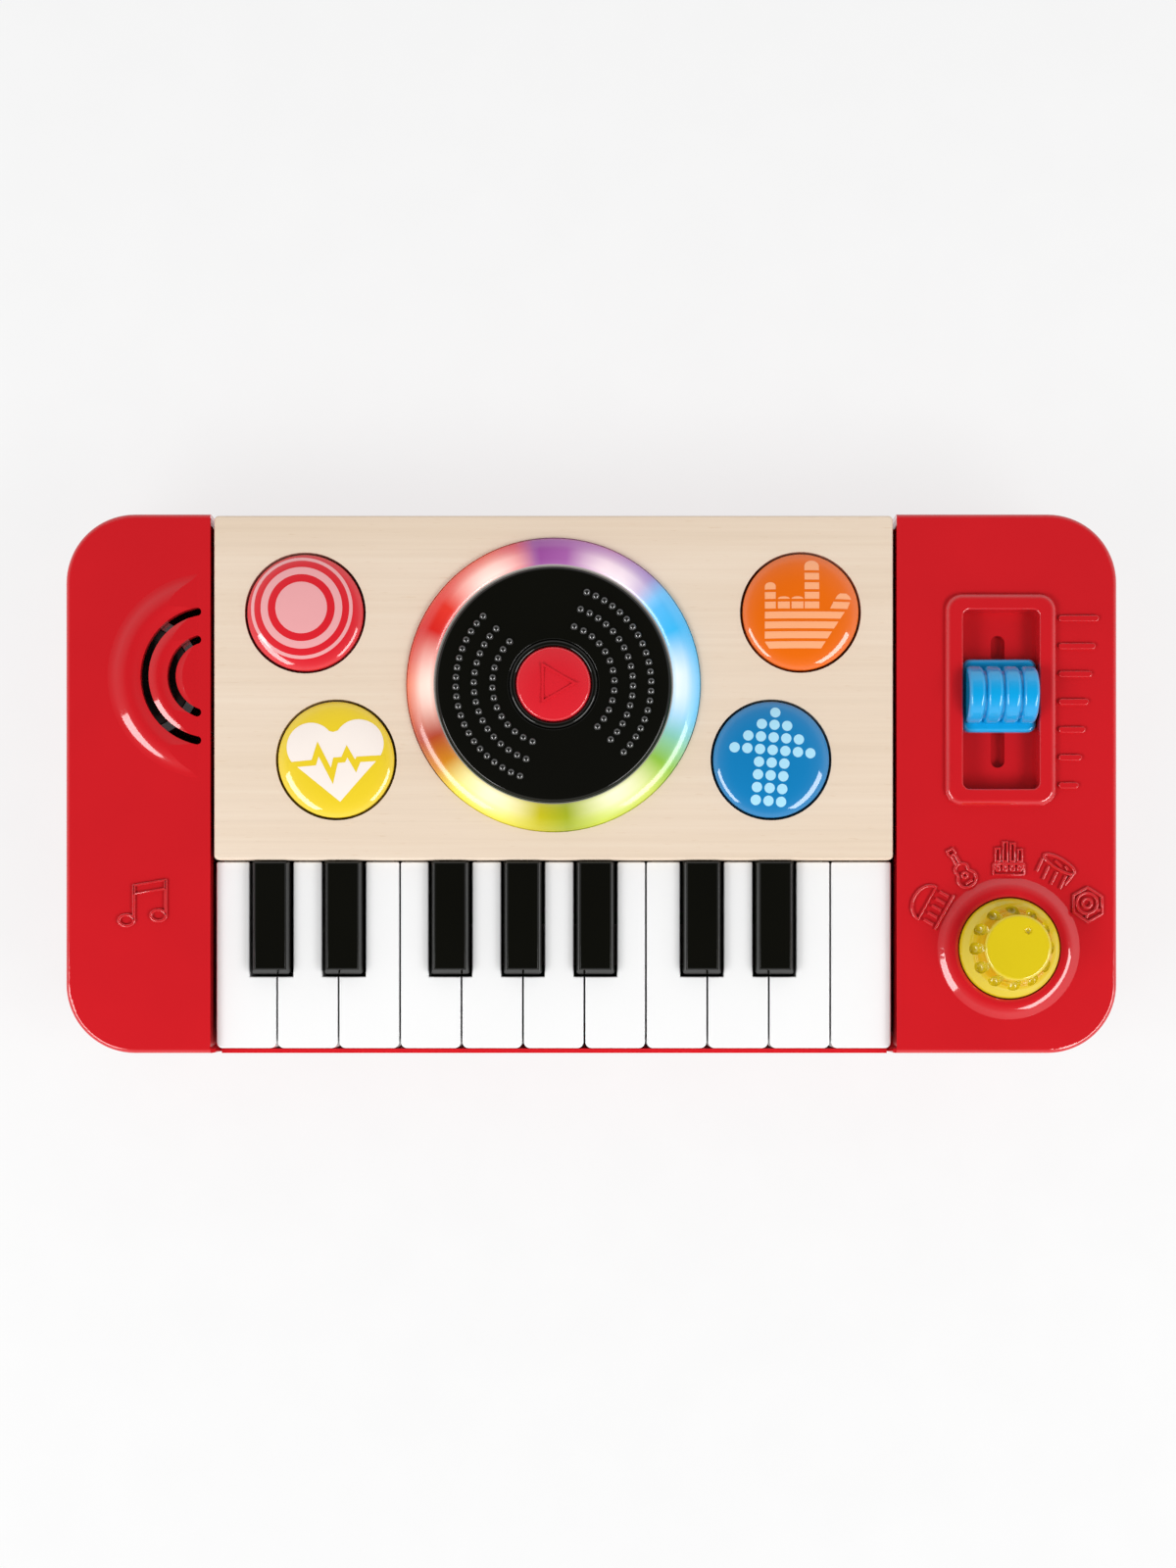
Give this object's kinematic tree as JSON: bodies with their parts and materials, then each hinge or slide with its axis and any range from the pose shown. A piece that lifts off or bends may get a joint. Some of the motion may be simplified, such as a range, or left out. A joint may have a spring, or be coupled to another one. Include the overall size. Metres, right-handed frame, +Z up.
{
  "type": "toy electronic keyboard",
  "caption": "Flat toy keyboard with piano keys, wooden panel, round buttons, lit turntable, slider and knob on a glossy case.",
  "frame": {"origin": "centre of the underside's bounding box, on the plane of the rubber feet", "axes": "+X to the player's right along the row of keys, +Y away from the player, +Z up"},
  "size_m": [0.343, 0.1764, 0.0622],
  "materials": {
    "red_plastic": "glossy moulded ABS",
    "plywood": "pale plywood, satin lacquer",
    "ring_diffuser": "translucent diffuser lit from below",
    "black_plastic": "glossy moulded ABS",
    "white_plastic": "glossy moulded ABS",
    "red_button_plastic": "glossy dome with pink print",
    "yellow_plastic": "glossy moulded ABS",
    "orange_plastic": "glossy dome with pale print",
    "blue_plastic": "glossy dome with pale print",
    "blue_handle_plastic": "glossy moulded ABS",
    "screw_steel": "zinc plated",
    "foot_rubber": "matt rubber",
    "switch_plastic": "moulded nylon",
    "plated_steel": "plated",
    "grey_plastic": "moulded ABS",
    "felt": "pressed felt",
    "circuit_board": "green solder mask",
    "silicone": "translucent silicone rubber",
    "led": "clear LED package",
    "chip_plastic": "moulded epoxy",
    "paper_cone": "pressed paper",
    "magnet_ferrite": "ferrite",
    "battery_sleeve": "printed steel can",
    "wire_insulation": "PVC insulation"
  },
  "bodies": {
    "case": {"lower_case": "red_plastic", "left_cover": "red_plastic", "right_cover": "red_plastic", "wood_panel": "plywood", "light_ring": "ring_diffuser", "turntable_post": "black_plastic", "turntable_base": "black_plastic", "battery_door": "red_plastic", "battery_door_screw": "screw_steel", "case_screws": "screw_steel", "rubber_feet": "foot_rubber", "power_switch": "switch_plastic", "rotary_switch": "switch_plastic", "slide_potentiometer": "switch_plastic", "key_pivot_rod": "plated_steel", "key_bed": "grey_plastic", "key_stop_felts": "felt", "key_board": "circuit_board", "led_board": "circuit_board", "left_button_board": "circuit_board", "main_board": "circuit_board", "key_dome_strip": "silicone", "button_domes": "silicone", "ring_leds": "led", "circuit_components": "chip_plastic", "speaker_frame": "plated_steel", "speaker_cone": "paper_cone", "speaker_magnet": "magnet_ferrite", "battery_cells": "battery_sleeve", "battery_contacts": "plated_steel", "internal_wires": "wire_insulation"},
    "white_key_01": {"white_key_01": "white_plastic"},
    "white_key_02": {"white_key_02": "white_plastic"},
    "white_key_03": {"white_key_03": "white_plastic"},
    "white_key_04": {"white_key_04": "white_plastic"},
    "white_key_05": {"white_key_05": "white_plastic"},
    "white_key_06": {"white_key_06": "white_plastic"},
    "white_key_07": {"white_key_07": "white_plastic"},
    "white_key_08": {"white_key_08": "white_plastic"},
    "white_key_09": {"white_key_09": "white_plastic"},
    "white_key_10": {"white_key_10": "white_plastic"},
    "white_key_11": {"white_key_11": "white_plastic"},
    "black_key_01": {"black_key_01": "black_plastic"},
    "black_key_02": {"black_key_02": "black_plastic"},
    "black_key_03": {"black_key_03": "black_plastic"},
    "black_key_04": {"black_key_04": "black_plastic"},
    "black_key_05": {"black_key_05": "black_plastic"},
    "black_key_06": {"black_key_06": "black_plastic"},
    "black_key_07": {"black_key_07": "black_plastic"},
    "red_button": {"red_button": "red_button_plastic"},
    "yellow_button": {"yellow_button": "yellow_plastic"},
    "orange_button": {"orange_button": "orange_plastic"},
    "blue_button": {"blue_button": "blue_plastic"},
    "play_button": {"play_button": "red_button_plastic"},
    "turntable": {"turntable_disc": "black_plastic"},
    "slider": {"slider_handle": "blue_handle_plastic", "slider_lever": "red_plastic"},
    "selector": {"selector_knob": "yellow_plastic", "knob_shaft": "plated_steel"},
    "power_switch": {"power_switch_knob": "black_plastic"}
  },
  "joints": [
    {"name": "white_key_01_press", "type": "hinge", "parent": "case", "child": "white_key_01", "pos_m": [-0.01235, -0.021, 0.033], "axis": [1, 0, 0], "range_deg": [0, 3.4], "stiffness_Nm_per_rad": 0.6, "springref_deg": -5.73, "deforming": ["key_dome_strip"]},
    {"name": "white_key_02_press", "type": "hinge", "parent": "case", "child": "white_key_02", "pos_m": [-0.01235, -0.021, 0.033], "axis": [1, 0, 0], "range_deg": [0, 3.4], "stiffness_Nm_per_rad": 0.6, "springref_deg": -5.73, "deforming": ["key_dome_strip"]},
    {"name": "white_key_03_press", "type": "hinge", "parent": "case", "child": "white_key_03", "pos_m": [-0.01235, -0.021, 0.033], "axis": [1, 0, 0], "range_deg": [0, 3.4], "stiffness_Nm_per_rad": 0.6, "springref_deg": -5.73, "deforming": ["key_dome_strip"]},
    {"name": "white_key_04_press", "type": "hinge", "parent": "case", "child": "white_key_04", "pos_m": [-0.01235, -0.021, 0.033], "axis": [1, 0, 0], "range_deg": [0, 3.4], "stiffness_Nm_per_rad": 0.6, "springref_deg": -5.73, "deforming": ["key_dome_strip"]},
    {"name": "white_key_05_press", "type": "hinge", "parent": "case", "child": "white_key_05", "pos_m": [-0.01235, -0.021, 0.033], "axis": [1, 0, 0], "range_deg": [0, 3.4], "stiffness_Nm_per_rad": 0.6, "springref_deg": -5.73, "deforming": ["key_dome_strip"]},
    {"name": "white_key_06_press", "type": "hinge", "parent": "case", "child": "white_key_06", "pos_m": [-0.01235, -0.021, 0.033], "axis": [1, 0, 0], "range_deg": [0, 3.4], "stiffness_Nm_per_rad": 0.6, "springref_deg": -5.73, "deforming": ["key_dome_strip"]},
    {"name": "white_key_07_press", "type": "hinge", "parent": "case", "child": "white_key_07", "pos_m": [-0.01235, -0.021, 0.033], "axis": [1, 0, 0], "range_deg": [0, 3.4], "stiffness_Nm_per_rad": 0.6, "springref_deg": -5.73, "deforming": ["key_dome_strip"]},
    {"name": "white_key_08_press", "type": "hinge", "parent": "case", "child": "white_key_08", "pos_m": [-0.01235, -0.021, 0.033], "axis": [1, 0, 0], "range_deg": [0, 3.4], "stiffness_Nm_per_rad": 0.6, "springref_deg": -5.73, "deforming": ["key_dome_strip"]},
    {"name": "white_key_09_press", "type": "hinge", "parent": "case", "child": "white_key_09", "pos_m": [-0.01235, -0.021, 0.033], "axis": [1, 0, 0], "range_deg": [0, 3.4], "stiffness_Nm_per_rad": 0.6, "springref_deg": -5.73, "deforming": ["key_dome_strip"]},
    {"name": "white_key_10_press", "type": "hinge", "parent": "case", "child": "white_key_10", "pos_m": [-0.01235, -0.021, 0.033], "axis": [1, 0, 0], "range_deg": [0, 3.4], "stiffness_Nm_per_rad": 0.6, "springref_deg": -5.73, "deforming": ["key_dome_strip"]},
    {"name": "white_key_11_press", "type": "hinge", "parent": "case", "child": "white_key_11", "pos_m": [-0.01235, -0.021, 0.033], "axis": [1, 0, 0], "range_deg": [0, 3.4], "stiffness_Nm_per_rad": 0.6, "springref_deg": -5.73, "deforming": ["key_dome_strip"]},
    {"name": "black_key_01_press", "type": "hinge", "parent": "case", "child": "black_key_01", "pos_m": [-0.01235, -0.021, 0.033], "axis": [1, 0, 0], "range_deg": [0, 3.4], "stiffness_Nm_per_rad": 0.6, "springref_deg": -5.73, "deforming": ["key_dome_strip"]},
    {"name": "black_key_02_press", "type": "hinge", "parent": "case", "child": "black_key_02", "pos_m": [-0.01235, -0.021, 0.033], "axis": [1, 0, 0], "range_deg": [0, 3.4], "stiffness_Nm_per_rad": 0.6, "springref_deg": -5.73, "deforming": ["key_dome_strip"]},
    {"name": "black_key_03_press", "type": "hinge", "parent": "case", "child": "black_key_03", "pos_m": [-0.01235, -0.021, 0.033], "axis": [1, 0, 0], "range_deg": [0, 3.4], "stiffness_Nm_per_rad": 0.6, "springref_deg": -5.73, "deforming": ["key_dome_strip"]},
    {"name": "black_key_04_press", "type": "hinge", "parent": "case", "child": "black_key_04", "pos_m": [-0.01235, -0.021, 0.033], "axis": [1, 0, 0], "range_deg": [0, 3.4], "stiffness_Nm_per_rad": 0.6, "springref_deg": -5.73, "deforming": ["key_dome_strip"]},
    {"name": "black_key_05_press", "type": "hinge", "parent": "case", "child": "black_key_05", "pos_m": [-0.01235, -0.021, 0.033], "axis": [1, 0, 0], "range_deg": [0, 3.4], "stiffness_Nm_per_rad": 0.6, "springref_deg": -5.73, "deforming": ["key_dome_strip"]},
    {"name": "black_key_06_press", "type": "hinge", "parent": "case", "child": "black_key_06", "pos_m": [-0.01235, -0.021, 0.033], "axis": [1, 0, 0], "range_deg": [0, 3.4], "stiffness_Nm_per_rad": 0.6, "springref_deg": -5.73, "deforming": ["key_dome_strip"]},
    {"name": "black_key_07_press", "type": "hinge", "parent": "case", "child": "black_key_07", "pos_m": [-0.01235, -0.021, 0.033], "axis": [1, 0, 0], "range_deg": [0, 3.4], "stiffness_Nm_per_rad": 0.6, "springref_deg": -5.73, "deforming": ["key_dome_strip"]},
    {"name": "red_button_press", "type": "slide", "parent": "case", "child": "red_button", "axis": [0, 0, -1], "range_m": [0, 0.0025], "stiffness_N_per_m": 800, "springref_m": -0.0015, "deforming": ["button_domes"]},
    {"name": "yellow_button_press", "type": "slide", "parent": "case", "child": "yellow_button", "axis": [0, 0, -1], "range_m": [0, 0.0025], "stiffness_N_per_m": 800, "springref_m": -0.0015, "deforming": ["button_domes"]},
    {"name": "orange_button_press", "type": "slide", "parent": "case", "child": "orange_button", "axis": [0, 0, -1], "range_m": [0, 0.0025], "stiffness_N_per_m": 800, "springref_m": -0.0015, "deforming": ["button_domes"]},
    {"name": "blue_button_press", "type": "slide", "parent": "case", "child": "blue_button", "axis": [0, 0, -1], "range_m": [0, 0.0025], "stiffness_N_per_m": 800, "springref_m": -0.0015, "deforming": ["button_domes"]},
    {"name": "play_button_press", "type": "slide", "parent": "case", "child": "play_button", "axis": [0, 0, -1], "range_m": [0, 0.0018], "stiffness_N_per_m": 800, "springref_m": -0.0015, "deforming": ["button_domes"]},
    {"name": "turntable_spin", "type": "hinge", "parent": "case", "child": "turntable", "pos_m": [-0.01235, 0.0321, 0.045], "axis": [0, 0, 1], "continuous": true},
    {"name": "slider_travel", "type": "slide", "parent": "case", "child": "slider", "axis": [0, 1, 0], "range_m": [-0.0184, 0.0152]},
    {"name": "selector_turn", "type": "hinge", "parent": "case", "child": "selector", "pos_m": [0.136, -0.0538, 0.05], "axis": [0, 0, 1], "range_deg": [-31, 89]},
    {"name": "power_switch_slide", "type": "slide", "parent": "case", "child": "power_switch", "axis": [1, 0, 0], "range_m": [0, 0.005]}
  ]
}
